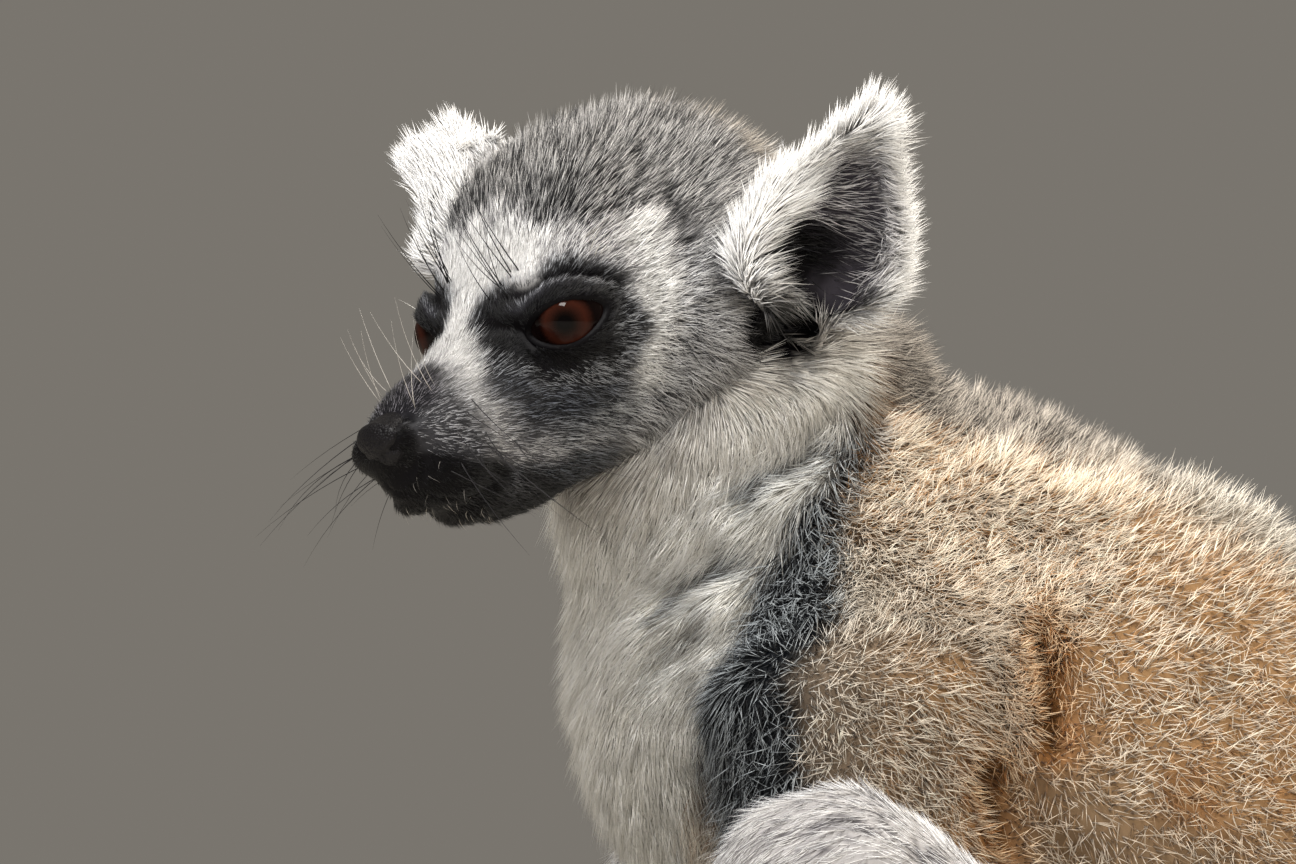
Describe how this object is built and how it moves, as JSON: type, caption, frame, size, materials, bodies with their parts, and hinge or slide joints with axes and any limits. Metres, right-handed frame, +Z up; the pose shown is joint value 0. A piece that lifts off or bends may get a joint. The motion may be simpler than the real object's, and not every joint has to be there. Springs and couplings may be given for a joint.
{
  "type": "ring-tailed lemur",
  "caption": "Life-size ring-tailed lemur sitting hunched with its knees up and its hands on the ground, head turned to its left, banded tail laid in a curve beside it.",
  "frame": {"origin": "middle of the flat under the rump, at floor level", "axes": "+Z up, -Y the way the trunk faces, +X to the lemur's left"},
  "size_m": [0.3253, 0.4125, 0.2846],
  "materials": {
    "grey_fur": "grizzled grey fur",
    "buff_fur": "buff brown woolly fur",
    "white_fur": "white fur",
    "black_fur": "black fur",
    "pale_fur": "short pale grey fur",
    "iris": "wet gloss, orange-brown",
    "nose_leather": "bare black skin, satin"
  },
  "bodies": {
    "root": {"head": "grey_fur", "nose": "nose_leather", "eye_left": "iris", "eye_right": "iris", "ear_left": "white_fur", "ear_right": "white_fur", "trunk": "buff_fur", "neck": "grey_fur", "upper_arm_left": "grey_fur", "thigh_left": "pale_fur", "shank_left": "pale_fur", "forearm_left": "pale_fur", "foot_left": "pale_fur", "hand_left": "pale_fur", "upper_arm_right": "grey_fur", "thigh_right": "pale_fur", "shank_right": "pale_fur", "forearm_right": "pale_fur", "foot_right": "pale_fur", "hand_right": "pale_fur", "tail_1": "white_fur", "tail_2": "black_fur", "tail_3": "white_fur", "tail_4": "black_fur", "tail_5": "white_fur"}
  },
  "joints": []
}
